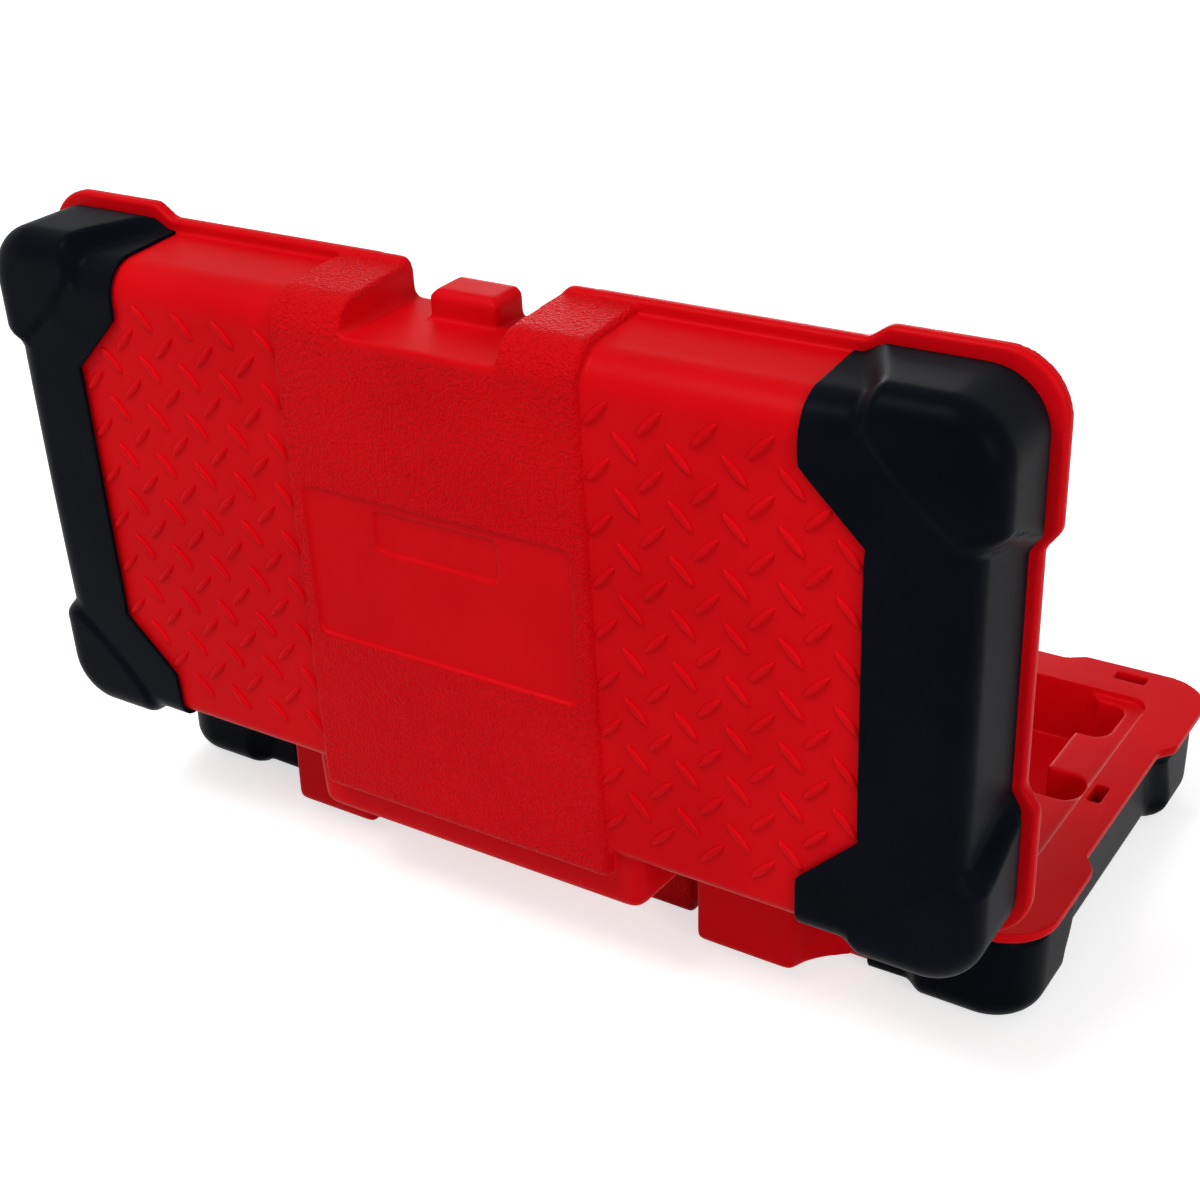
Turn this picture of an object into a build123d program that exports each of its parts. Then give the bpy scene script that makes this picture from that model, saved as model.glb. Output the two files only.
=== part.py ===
from build123d import *
from math import cos, radians, sin, tan
import os

os.makedirs("parts", exist_ok=True)

# A hard carry case for hand tools: two moulded halves that mirror each other about the rim
# plane, hinged along the rear, with clip-on black end guards, a front latch and a bail handle.
# Millimetres. +Z is up, the front (handle side) faces -Y and the lid stands open.
#
# Both halves are modelled in one half frame: the hinge line is the X axis, the rim plane is
# z = 0, the outside of the moulding is towards +z and the front is towards -Y.

# Overall size of one half
case_length = 400.0      # flange, over the corner bumpers
case_width = 207.0       # flange, front to rear, over the corner bumpers
face_depth = 40.4        # rim plane to the tread face
relief = 2.6             # band and guards stand proud of the face by this much
hinge_gap = 8.0          # hinge line to the rear edge of the bumpers
draft = 2.95             # moulding draft in degrees

# Flange round the rim
flange_thick = 4.5
flange_radius = 21.0
flange_overhang = 4.5    # middle of the flange beyond the wall
flange_edge = 1.1        # chamfer round its outside
edge_step = 5.0          # corner bumpers beyond the middle of each side
bumper_long = 59.0       # bumper along the long sides, to the middle of its ramp
bumper_end = 58.0        # bumper along the ends, to the middle of its ramp
ramp_run = 7.0
ramp_round = 6.0

# Walls of the moulding
wall_radius = 18.0
front_round = 13.0
rear_round = 6.0
end_round = 9.0

# Raised centre band
band_front = 120.0       # width at the front
band_rear = 124.5        # width at the rear
band_proud = 3.1         # beyond the front and rear walls
band_edge = 1.3          # chamfer along its two sides
band_end_round = 4.0     # where it turns down at the rear
band_corner = 5.0        # in plan, where the lid's band ends
panel_length = 110.0
panel_width = 58.5
panel_depth = 1.0
panel_setback = 2.5      # panel's middle behind the middle of the face
plaque_length = 51.0
plaque_width = 16.0
plaque_depth = 0.6
plaque_forward = 17.5    # plaque's middle in front of the panel's
panel_round = 4.0
plaque_round = 3.0

# Notch in the middle of the front, and the lug the latch hooks on
notch_width = 62.0
notch_depth = 19.0       # from the bumpers' front edge
notch_round = 3.0
notch_lip = 4.0          # its mouth flares out to the flange's edge by this radius
lug_width = 27.0
lug_height = 16.0        # from the rim plane
lug_reach = 10.0         # out of the notch floor
lug_chamfer = 2.2

# Hinge
pin_radius = 2.0
press_gap = 0.02         # pin in the part that holds it
running_gap = 0.07       # pin in the part that turns on it
knuckle_radius = 4.5     # also the heel's distance from the hinge line
block_depth = 36.5       # hinge blocks, rim plane to outer face
block_round = 4.0
block_corner = 5.0       # upright corners of the lid's block
centre_block = 150.0     # lid's hinge block, at the rim plane
block_draft = 4.5        # degrees, on the lid block's sides
knuckle_gap = 0.6        # between the lid's block and the base's blocks
side_block = 38.5        # length of each of the base's hinge blocks
side_flare = 14.0        # how far their outer sides flare to meet the wall
flare_bend = 4.2         # the flare's middle, along the case
block_root = 9.0         # how far they run on inside the wall
stop_gap = 0.12          # heel to the edge it lands on, with the lid open
pin_in_lid = 23.0
pin_chamfer = 0.4
blind_gap = 0.5          # past the end of a pin in a blind hole

# End guards
guard_gap = 0.2          # guard to moulding
guard_seam = 2.0         # dark line between guard and flange
guard_inset = 3.5        # bumper's outside from the flange's edge
sleeve_inset = 3.0       # the same between the bumpers, where the flange is narrower
guard_arm = 64.8         # guard on the face, from the case's end, at the front and rear
guard_waist = 43.4       # the same at the middle of the end
waist_long = 104.2       # length of the straight waist
arm_long = 146.4         # distance between the corners where the arms begin
guard_corner = 20.0
guard_round = 10.0

# Slots in the flange and the guard's tabs that snap into them
slot_long = 13.2
slot_wide = 6.6
slot_from_end = 33.2     # slot centre from the bumper's end
slot_setback = 1.0       # slot's outer edge from the middle flange's edge
end_slot_long = 12.5
end_slot_wide = 5.2
end_slot_setback = 7.5
slot_deep = 8.5
tab_thick = 2.6
tab_gap = 0.4
tab_below_rim = 1.2
tab_hook = 2.2

# Inside of the base
recess_end_margin = 20.0     # from the ends of the case
recess_notch_wall = 6.0      # from the notch's floor
recess_depth = 3.0
recess_round = 8.0
pocket_round = 7.0
round_limit = 0.45       # of a narrow pocket's width
socket_trough_depth = 26.0
socket_trough_width = 29.0
cradle_radius = 13.0
cradle_pitch = 33.0
cradle_count = 8
cradle_rib = 9.0
small_trough_depth = 19.0
small_trough_width = 25.0
small_radius = 9.5
small_pitch = 25.0
small_count = 12
small_rib = 6.0
ratchet_depth = 25.0
ratchet_width = 24.0
ratchet_head = 45.0
extension_depth = 20.0
extension_width = 17.0
finger_well_length = 38.0
finger_well_depth = 28.0
bit_pocket_depth = 23.0
bit_pocket_width = 19.6
front_margin = 4.5           # margins run from the recess's sides to the pocket named
trough_margin = 9.0
end_pocket_margin = 7.5
end_pocket_step = 4.0        # end pocket past the finger well
well_margin = 20.0
well_past_middle = 6.0
bit_margin = 2.0
bit_setback = 3.5            # this one and the next, in front of the middle
ratchet_setback = 8.0
ratchet_margin = 12.0
extension_offset = 26.0     # behind the middle
extension_margin = 10.0
extension_far_margin = 60.0
small_margin = 8.0

# Inside of the lid
lid_hollow_depth = 17.0
lid_hollow_margin = 10.0
lid_rib_count = 3
lid_rib_width = 12.0
lid_rib_height = 6.0

# Latch
latch_side_gap = 0.8
latch_thick = 4.0
latch_pivot_depth = 24.0
latch_pivot_setback = 2.0    # pivot behind the front wall
latch_barrel = 4.5
latch_lug_gap = 0.5
latch_lip = 4.0
latch_lip_overlap = 6.5
latch_top = 5.0              # finger tab above the lip
latch_tab_flare = 3.6
latch_tab_edge = 2.4         # thickness of the tab's end
latch_tab_round = 0.96
latch_corner = 4.0
latch_pin_grip = 7.5         # pin in each side of the notch
latch_swing = 86.0           # from shut to where its heel meets the notch floor
latch_rest = 30.0            # how far open it is left while the lid is up
latch_foot_inner = 0.4       # foot behind the pivot
latch_stop_gap = 0.1

# Bail handle
handle_span = 150.0          # between the legs
handle_leg = 8.0
handle_pivot_depth = 9.0
handle_pivot_reach = 6.0     # pivot in front of the middle flange's edge
handle_eye = 5.5
handle_heel = 5.8            # square corner that stops the swing
handle_drop = 28.0           # pivot to the middle of the grip
handle_grip_radius = 6.0
handle_grip_height = 11.0
handle_corner = 16.0
handle_edge = 2.2
boss_width = 8.4
boss_radius = 5.0
rivet_head_radius = 4.0
rivet_head_thick = 1.8
rivet_gap = 0.3
rivet_wall = 1.5             # of the boss behind the rivet's end

# How far a cut or a root runs past what it meets, and how near two places count as one
over = 1.0
near = 0.01

# Places worked out from the sizes above
rest_depth = face_depth + relief
open_angle = 90.0 + draft            # the square heel lies flat on a face with draft
rear_edge = -hinge_gap
front_edge = rear_edge - case_width
centre_y = (rear_edge + front_edge) / 2
flange_front = front_edge + edge_step
wall_rear = rear_edge - edge_step - flange_overhang
wall_front = flange_front + flange_overhang
wall_end = case_length / 2 - edge_step - flange_overhang
notch_floor = front_edge + notch_depth
band_front_wall = wall_front - band_proud
band_rear_wall = wall_rear + band_proud
side_block_start = centre_block / 2 + knuckle_gap
side_block_end = side_block_start + side_block
recess_length = case_length - 2 * recess_end_margin
recess_width = case_width - 2 * (notch_depth + recess_notch_wall)
recess_front = centre_y - recess_width / 2
recess_rear = centre_y + recess_width / 2
recess_end = recess_length / 2
reach = 2 * case_length              # longer than anything it cuts


def across(profile, half_length):
    """Profile in (y, z) carried along X, both ways."""
    return extrude(Plane.YZ * profile, half_length, both=True)


def along(profile, half_length):
    """Profile in (x, z) carried along Y, both ways."""
    return extrude(Plane.XZ * profile, half_length, both=True)


def slab(outline, low, high):
    """Plan outline in (x, y) raised from z = low to z = high."""
    return extrude(Pos(0, 0, low) * outline, high - low, dir=(0, 0, 1))


def block(x, y, z):
    """Box between two values on each axis."""
    size = [abs(b - a) for a, b in (x, y, z)]
    middle = [(a + b) / 2 for a, b in (x, y, z)]
    return Pos(*middle) * Box(*size)


def both_ends(shape):
    return shape + mirror(shape, about=Plane.YZ)


def wall_profile(low, rear, front, depth, rear_radius, front_radius):
    """Section of a half: two walls with draft, joined by the face with a round at each edge."""
    lean = (depth - low) * tan(radians(draft))
    profile = Polygon((rear, low), (rear - lean, depth), (front + lean, depth), (front, low),
                      align=None)
    top = profile.vertices().group_by(Axis.Y)[-1].sort_by(Axis.X)
    profile = fillet(top[-1], rear_radius)
    top = profile.vertices().filter_by(lambda v: v.Y > depth - near).sort_by(Axis.X)
    return fillet(top[0], front_radius)


def end_profile(low, half_length, depth, radius):
    lean = (depth - low) * tan(radians(draft))
    profile = Polygon((-half_length, low), (-half_length + lean, depth),
                      (half_length - lean, depth), (half_length, low), align=None)
    return fillet(profile.vertices().group_by(Axis.Y)[-1], radius)


def rim_outline():
    """Flange outline: the corners step out beyond the middle of each side, by short ramps."""
    half_x, half_y = case_length / 2, case_width / 2
    long_in, long_out = half_x - bumper_long - ramp_run / 2, half_x - bumper_long + ramp_run / 2
    end_in, end_out = half_y - bumper_end - ramp_run / 2, half_y - bumper_end + ramp_run / 2
    front = Polygon((-long_out, -half_y), (-long_in, edge_step - half_y),
                    (long_in, edge_step - half_y), (long_out, -half_y), align=None)
    end = Polygon((half_x, -end_out), (half_x - edge_step, -end_in),
                  (half_x - edge_step, end_in), (half_x, end_out), align=None)
    outline = Rectangle(case_length, case_width) - front - end
    outline = outline - mirror(front, about=Plane.XZ) - mirror(end, about=Plane.YZ)
    corners = outline.vertices().filter_by(
        lambda v: abs(v.X) > half_x - near and abs(v.Y) > half_y - near)
    outline = fillet(corners, flange_radius)
    ramps = outline.vertices().filter_by(
        lambda v: abs(v.X) < long_out + near or abs(v.Y) < end_out + near)
    return Pos(0, centre_y) * fillet(ramps, ramp_round)


def moulding(grow=0.0):
    """Outer form of a half behind the flange: drafted walls with a rounded face."""
    width = wall_rear - wall_front + 2 * grow
    sides = wall_profile(0, wall_rear + grow, wall_front - grow, face_depth + grow,
                         rear_round + grow, front_round + grow)
    ends = end_profile(0, wall_end + grow, face_depth + grow, end_round + grow)
    plan = Pos(0, centre_y) * RectangleRounded(2 * (wall_end + grow), width, wall_radius + grow)
    return across(sides, reach) & along(ends, reach) & slab(plan, 0, face_depth + grow)


def flange():
    plate = slab(rim_outline(), 0, flange_thick)
    return chamfer(plate.faces().sort_by(Axis.Z)[-1].edges(), flange_edge)


def band(rear_profile_end, rear_low):
    """Raised band over the face and the front wall, its rear end as the half needs it."""
    profile = wall_profile(0, rear_profile_end, band_front_wall, rest_depth, band_end_round,
                           front_round)
    plan = Polygon((-band_rear / 2, rear_profile_end), (-band_front / 2, front_edge),
                   (band_front / 2, front_edge), (band_rear / 2, rear_profile_end), align=None)
    strip = across(profile, reach) & slab(plan, 0, rest_depth)
    for side in (0, -1):
        edges = strip.faces().sort_by(Axis.X)[side].edges()
        edges = edges.filter_by(lambda e: e.center().Z > near)
        strip = chamfer(edges, band_edge)
    plan = fillet(plan.vertices().group_by(Axis.Y)[-1], band_corner)
    strip = strip & slab(plan, 0, rest_depth)
    return strip - block((-reach, reach), (wall_rear, over), (-over, rear_low))


def panel():
    """Sunk panel in the lid's band, with a bare plaque sunk in it."""
    middle = centre_y + panel_setback
    outline = Pos(0, middle) * RectangleRounded(panel_length, panel_width, panel_round)
    plaque = Pos(0, middle - plaque_forward)
    plaque *= RectangleRounded(plaque_length, plaque_width, plaque_round)
    floor = rest_depth - panel_depth
    sunk = slab(outline, floor, rest_depth + over)
    return sunk + slab(plaque, floor - plaque_depth, floor + over)


def notch():
    """Cut from the front through the whole depth, with rounds at its floor and at its mouth."""
    half = notch_width / 2
    box = block((-half, half), (notch_floor, front_edge - over), (-over, rest_depth + over))
    inner = box.edges().filter_by(Axis.Z).group_by(Axis.Y)[-1]
    corner = Pos(half + notch_lip / 2, flange_front + notch_lip / 2)
    corner *= Rectangle(notch_lip, notch_lip)
    lip = corner - Pos(half + notch_lip, flange_front + notch_lip) * Circle(notch_lip)
    return fillet(inner, notch_round) + both_ends(slab(lip, -over, rest_depth + over))


def bore(x_from, x_to, y, z, radius):
    """Round hole along X."""
    centre = Pos((x_from + x_to) / 2, y, z) * Rot(0, 90, 0)
    return centre * Cylinder(radius, abs(x_to - x_from))


def corner_slots():
    """Slots through the flange for the guards' tabs, two at the corners and one at each end."""
    x = case_length / 2 - slot_from_end
    outer = flange_front + slot_setback
    long_slot = block((x - slot_long / 2, x + slot_long / 2), (outer, outer + slot_wide),
                      (-over, slot_deep))
    rear_slot = mirror(long_slot, about=Plane.XZ.offset(-centre_y))
    end_outer = case_length / 2 - edge_step - end_slot_setback
    end_slot = block((end_outer - end_slot_wide, end_outer),
                     (centre_y - end_slot_long / 2, centre_y + end_slot_long / 2),
                     (-over, slot_deep + 2 * tab_thick + 2 * tab_gap))
    window = block((end_outer - over, wall_end + over),
                   (centre_y - end_slot_long / 2, centre_y + end_slot_long / 2),
                   (slot_deep, slot_deep + 2 * tab_thick + 2 * tab_gap))
    return both_ends(long_slot + rear_slot + end_slot + window)


def half_shell(rear_profile_end, rear_low):
    """What both halves share."""
    shell = moulding() + flange() + band(rear_profile_end, rear_low)
    return shell - notch() - corner_slots()


def recess():
    outline = Pos(0, centre_y) * RectangleRounded(recess_length, recess_width, recess_round)
    return slab(outline, -over, recess_depth)


def pocket(x_from, x_to, y_from, y_to, depth):
    """Sunk pocket with rounded corners."""
    length, width = abs(x_to - x_from), abs(y_to - y_from)
    outline = Pos((x_from + x_to) / 2, (y_from + y_to) / 2)
    outline *= RectangleRounded(length, width, min(pocket_round, round_limit * min(length, width)))
    return slab(outline, -over, depth)


def trough(x_from, y_middle, width, depth, radius, pitch, count, rib):
    """Row of round-bottomed cradles across a trough; low ribs part them."""
    length = pitch * count
    channel = pocket(x_from, x_from + length, y_middle - width / 2, y_middle + width / 2,
                     depth - rib)
    cradle = Pos(x_from + pitch / 2, y_middle, depth - radius) * Rot(90, 0, 0)
    cradle *= Cylinder(radius, width)
    below = block((x_from, x_from + length), (y_middle - width, y_middle + width),
                  (depth - rib - over, depth))
    for number in range(count):
        channel += (Pos(number * pitch, 0, 0) * cradle) & below
    return channel


def tool_pockets():
    """Layout inside the base, as seen with the front towards -Y."""
    well_left = well_margin - recess_end
    well_right = well_left + finger_well_length
    front_middle = recess_front + front_margin + socket_trough_width / 2
    front_sides = (front_middle - socket_trough_width / 2, front_middle + socket_trough_width / 2)
    channels = trough(recess_end - trough_margin - cradle_pitch * cradle_count, front_middle,
                      socket_trough_width, socket_trough_depth, cradle_radius, cradle_pitch,
                      cradle_count, cradle_rib)
    channels += pocket(end_pocket_margin - recess_end, well_right + end_pocket_step,
                       *front_sides, finger_well_depth)
    channels += pocket(well_left, well_right, recess_front, centre_y + well_past_middle,
                       finger_well_depth)
    bit_y = centre_y - bit_setback
    channels += pocket(bit_margin - recess_end, well_right, bit_y - bit_pocket_width / 2,
                       bit_y + bit_pocket_width / 2, bit_pocket_depth)
    ratchet_y = centre_y - ratchet_setback
    ratchet_end = recess_end - ratchet_margin - ratchet_head / 2
    channels += pocket(well_right + ratchet_margin, ratchet_end, ratchet_y - ratchet_width / 2,
                       ratchet_y + ratchet_width / 2, ratchet_depth)
    channels += slab(Pos(ratchet_end, ratchet_y) * Circle(ratchet_head / 2), -over,
                     ratchet_depth)
    extension_y = centre_y + extension_offset
    channels += pocket(extension_margin - recess_end, recess_end - extension_far_margin,
                       extension_y - extension_width / 2, extension_y + extension_width / 2,
                       extension_depth)
    small_y = recess_rear - small_margin - small_trough_width / 2
    channels += trough(-small_pitch * small_count / 2, small_y, small_trough_width,
                       small_trough_depth, small_radius, small_pitch, small_count, small_rib)
    return channels


def side_blocks():
    """The base's two hinge blocks: a knuckle at the rim, a flared side towards the guard."""
    plan = make_face(
        Polyline((side_block_start, wall_rear), (side_block_start, knuckle_radius),
                 (side_block_end, knuckle_radius)) +
        ThreePointArc((side_block_end, knuckle_radius),
                      (side_block_end + flare_bend, (knuckle_radius + wall_rear) / 2),
                      (side_block_end + side_flare, wall_rear)) +
        Line((side_block_end + side_flare, wall_rear), (side_block_start, wall_rear)))
    body = slab(plan, 0, block_depth)
    body = fillet(body.faces().sort_by(Axis.Z)[-1].edges().sort_by(Axis.Y)[-1], block_round)
    knuckle = bore(side_block_start, side_block_end, 0, 0, knuckle_radius)
    root = block((side_block_start, side_block_end + side_flare),
                 (wall_rear - block_root, wall_rear), (0, block_depth))
    return both_ends(body + knuckle + root)


def heel_lip():
    """Flange carried back between the hinge blocks; the lid's heel lands on its edge."""
    edge = -(knuckle_radius + stop_gap) / cos(radians(draft))
    lean = flange_thick * tan(radians(draft))
    profile = Polygon((edge, 0), (edge - lean, flange_thick), (wall_rear, flange_thick),
                      (wall_rear, 0), align=None)
    return across(profile, centre_block / 2 + 2 * knuckle_gap)


def centre_hinge_block():
    """The lid's hinge block: a knuckle with a square heel, under the end of the band."""
    r = knuckle_radius
    profile = make_face(
        Polyline((-r, 0), (wall_rear - rear_round, 0), (wall_rear - rear_round, block_depth),
                 (r, block_depth), (r, -r), (0, -r)) +
        ThreePointArc((0, -r), (-r * cos(radians(45)), -r * cos(radians(45))), (-r, 0)))
    corner = profile.vertices().group_by(Axis.Y)[-1].sort_by(Axis.X)[-1]
    body = across(fillet(corner, block_round), reach)
    lean = (block_depth + r) * tan(radians(block_draft))
    half = centre_block / 2
    sides = Polygon((-half, -r), (half, -r), (half - lean, block_depth),
                    (lean - half, block_depth), align=None)
    body = body & along(sides, reach)
    upright = body.edges().filter_by(
        lambda e: abs(e.tangent_at(0.5).Z) > 0.9 and e.center().Y > r - near)
    return fillet(upright, block_corner)


def lug():
    body = block((-lug_width / 2, lug_width / 2), (notch_floor + over, notch_floor - lug_reach),
                 (0, lug_height))
    outer = body.faces().sort_by(Axis.Y)[0].edges()
    top = outer.filter_by(lambda e: e.center().Z > near)
    return chamfer(top, lug_chamfer)


def handle_bosses():
    y = flange_front - handle_pivot_reach
    x = handle_span / 2 - rivet_gap
    profile = Pos(y, handle_pivot_depth) * Circle(boss_radius)
    profile += Polygon((y, handle_pivot_depth - boss_radius),
                       (wall_front + over, handle_pivot_depth - boss_radius),
                       (wall_front + over, handle_pivot_depth + 2 * boss_radius),
                       (y, handle_pivot_depth + boss_radius), align=None)
    boss = extrude(Plane.YZ.offset(x - boss_width) * profile, boss_width, dir=(1, 0, 0))
    return both_ends(boss)


def pin(x_from, x_to, y, z):
    """Steel pin along X with chamfered ends."""
    body = bore(x_from, x_to, y, z, pin_radius)
    return chamfer(body.edges().filter_by(GeomType.CIRCLE), pin_chamfer)


def base_shell():
    shell = half_shell(band_rear_wall, 0) + side_blocks() + heel_lip() + handle_bosses()
    shell = shell - recess() - tool_pockets() - notch()
    start, end = side_block_start - over, side_block_end + over
    shell -= both_ends(bore(start, end, 0, 0, pin_radius + press_gap))
    latch_y = wall_front + latch_pivot_setback
    hole = notch_width / 2 + latch_pin_grip
    shell -= bore(-hole, hole, latch_y, latch_pivot_depth, pin_radius + press_gap)
    handle_y = flange_front - handle_pivot_reach
    handle_x = handle_span / 2
    hole = handle_x - boss_width + rivet_wall - blind_gap
    return shell - both_ends(bore(hole, handle_x + over, handle_y, handle_pivot_depth,
                                  pin_radius + press_gap))


def lid_shell():
    shell = half_shell(-hinge_gap - over, block_depth) + centre_hinge_block() + lug()
    outline = Pos(0, centre_y) * RectangleRounded(recess_length - 2 * lid_hollow_margin,
                                                  recess_width - 2 * lid_hollow_margin,
                                                  recess_round)
    hollow = slab(outline, -over, lid_hollow_depth)
    spacing = (recess_width - 2 * lid_hollow_margin) / (lid_rib_count + 1)
    for number in range(lid_rib_count):
        y = centre_y + spacing * (number + 1 - (lid_rib_count + 1) / 2)
        bar = Pos(0, y) * SlotOverall(recess_length - 6 * lid_hollow_margin, lid_rib_width)
        hollow -= slab(bar, lid_hollow_depth - lid_rib_height, lid_hollow_depth)
    shell = shell - recess() - hollow - panel()
    inside = centre_block / 2 - pin_in_lid
    return shell - both_ends(bore(inside, centre_block / 2 + over, 0, 0,
                                  pin_radius + running_gap))


def pillow(inset, radius):
    """Rounded block over the whole half, which the end guards are cut from."""
    low = flange_thick + guard_seam
    outline = Pos(0, centre_y) * RectangleRounded(case_length - 2 * inset,
                                                  case_width - 2 * inset, radius)
    body = slab(outline, low, rest_depth)
    return fillet(body.faces().sort_by(Axis.Z)[-1].edges(), guard_round)


def guard_region():
    """Plan of one guard on the face: two arms joined by a narrower waist."""
    far = case_length
    arm_x = case_length / 2 - guard_arm
    waist_x = case_length / 2 - guard_waist
    points = [(far, -far), (arm_x, -far), (arm_x, -arm_long / 2), (waist_x, -waist_long / 2),
              (waist_x, waist_long / 2), (arm_x, arm_long / 2), (arm_x, far), (far, far)]
    return Pos(0, centre_y) * Polygon(*points, align=None)


def bumper_region():
    """Plan of the corner bumpers at one end, bounded by the ramps."""
    x, y = case_length / 2 - bumper_long, case_width / 2 - bumper_end
    corner = Polygon((x - ramp_run, case_width / 2 - 2 * edge_step),
                     (x + ramp_run, case_width / 2),
                     (case_length, case_length), (case_length / 2, y + ramp_run),
                     (case_length / 2 - 2 * edge_step, y - ramp_run), align=None)
    return Pos(0, centre_y) * (corner + mirror(corner, about=Plane.XZ))


def guard():
    """Guard for the right-hand end of a half, with the tabs that snap into the flange."""
    low = flange_thick + guard_seam
    bumpers = pillow(guard_inset, guard_corner) & slab(bumper_region(), low, rest_depth)
    sleeve = pillow(sleeve_inset + edge_step, guard_corner - edge_step)
    cover = (sleeve + bumpers) & slab(guard_region(), low, rest_depth)
    cover -= moulding(guard_gap)
    x = case_length / 2 - slot_from_end
    half = slot_long / 2 - tab_gap
    outer = flange_front + slot_setback + tab_gap
    tab = block((x - half, x + half), (outer, outer + tab_thick), (tab_below_rim, low + over))
    tab += block((x - half, x + half), (outer, outer + tab_thick + tab_hook),
                 (tab_below_rim, tab_below_rim + tab_hook))
    tab += mirror(tab, about=Plane.XZ.offset(-centre_y))
    end_outer = case_length / 2 - edge_step - end_slot_setback - tab_gap
    half = end_slot_long / 2 - tab_gap
    sides = (centre_y - half, centre_y + half)
    arm_low = slot_deep + tab_gap
    tab += block((end_outer - tab_thick, wall_end + over), sides, (arm_low, arm_low + tab_thick))
    tab += block((end_outer - tab_thick, end_outer), sides, (tab_below_rim, arm_low + over))
    return cover + tab


def latch():
    """Flap on a cross pin, with a lip that hooks over the lid's lug. Modelled closed."""
    y = wall_front + latch_pivot_setback
    z = latch_pivot_depth
    inner = notch_floor - lug_reach - latch_lug_gap
    outer = inner - latch_thick
    lip_end = inner + latch_lug_gap + latch_lip_overlap
    lip = -(lug_height + latch_lug_gap)
    top = lip - latch_lip
    tip = top - latch_top
    flare = outer - latch_tab_flare
    plate = Polygon((inner, z), (outer, z), (outer, top + latch_lip), (flare, tip),
                    (flare + latch_tab_edge, tip), (inner, top), (lip_end, top),
                    (lip_end, lip), (inner, lip), align=None)
    plate = fillet(plate.vertices().filter_by(lambda v: v.Y < lip - near), latch_tab_round)
    swing = radians(latch_swing)
    foot = (notch_floor - y - latch_stop_gap - latch_foot_inner * cos(swing)) / sin(swing)
    heel = Polygon((y + latch_foot_inner, z), (y + latch_foot_inner, z + foot),
                   (outer, z + foot), (outer, z - latch_barrel), (inner, z - latch_barrel),
                   align=None)
    heel = fillet(heel.vertices().sort_by(Axis.X)[0:2].sort_by(Axis.Y)[-1], latch_barrel / 2)
    profile = Pos(y, z) * Circle(latch_barrel) + plate + heel
    half = notch_width / 2 - latch_side_gap
    front_view = Pos(0, (z + foot + tip) / 2)
    front_view *= RectangleRounded(2 * half, z + foot - tip, latch_corner)
    body = across(profile, half) & along(front_view, reach)
    return body - bore(-half - over, half + over, y, z, pin_radius + running_gap)


def carry_handle():
    """U-shaped bail, modelled folded down in front of the base."""
    y = flange_front - handle_pivot_reach
    z = handle_pivot_depth
    inner, outer = handle_span / 2, handle_span / 2 + handle_leg
    grip_low = z + handle_drop - handle_grip_height / 2
    grip_high = z + handle_drop + handle_grip_height / 2
    top = z - 2 * handle_heel
    frame = Polygon((-outer, top), (outer, top), (outer, grip_high), (-outer, grip_high),
                    align=None)
    frame = fillet(frame.vertices().group_by(Axis.Y)[-1], handle_corner)
    gap = Polygon((-inner, top - over), (inner, top - over), (inner, grip_low),
                  (-inner, grip_low), align=None)
    gap = fillet(gap.vertices().group_by(Axis.Y)[-1], handle_corner - handle_leg)
    side = Pos(y, z) * Circle(handle_eye) + Pos(y, z + handle_drop) * Circle(handle_grip_radius)
    side += Polygon((y - handle_eye, z), (y - handle_grip_radius, z + handle_drop),
                    (y + handle_grip_radius, z + handle_drop), (y + handle_eye, z), align=None)
    side += Polygon((y - handle_heel, z), (y - handle_heel, z - handle_heel),
                    (y, z - handle_heel), (y, z), align=None)
    bail = along(frame - gap, reach) & across(side, reach)
    long_edges = bail.edges().filter_by(lambda e: e.center().Z > z + handle_heel)
    bail = chamfer(long_edges, handle_edge)
    return bail - bore(-outer - over, outer + over, y, z, pin_radius + running_gap)


def rivet():
    """Headed pin that carries the right-hand leg of the handle."""
    y = flange_front - handle_pivot_reach
    leg_outer = handle_span / 2 + handle_leg + rivet_gap
    shank = bore(handle_span / 2 - boss_width + rivet_wall, leg_outer + over, y,
                 handle_pivot_depth, pin_radius)
    head = bore(leg_outer, leg_outer + rivet_head_thick, y, handle_pivot_depth,
                rivet_head_radius)
    head = chamfer(head.faces().sort_by(Axis.X)[-1].edges(), rivet_head_thick / 2)
    return shank + head


# Placing: the hinge line goes to the rear, above the face that the case rests on
to_row = Pos(0, -centre_y, rest_depth)


def in_base(shape):
    return to_row * mirror(shape, about=Plane.XY)


def in_base_left(shape):
    """A right-hand piece turned over to the left-hand end of the base."""
    return to_row * (Rot(0, 180, 0) * shape)


def in_lid(shape):
    return to_row * (Rot(-open_angle, 0, 0) * shape)


def opened_latch(shape):
    """Latch swung outwards about its pin, by as much as it is left open at rest."""
    pivot = Pos(0, wall_front + latch_pivot_setback - centre_y, rest_depth - latch_pivot_depth)
    return pivot * Rot(latch_rest, 0, 0) * pivot.inverse() * shape


def left(shape):
    return mirror(shape, about=Plane.YZ)


guard_right = guard()
hinge_pin_right = pin(centre_block / 2 - pin_in_lid + over, side_block_end - over, 0, 0)
rivet_right = rivet()
latch_half = notch_width / 2 + latch_pin_grip - blind_gap
latch_pin = pin(-latch_half, latch_half, wall_front + latch_pivot_setback, latch_pivot_depth)

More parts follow.
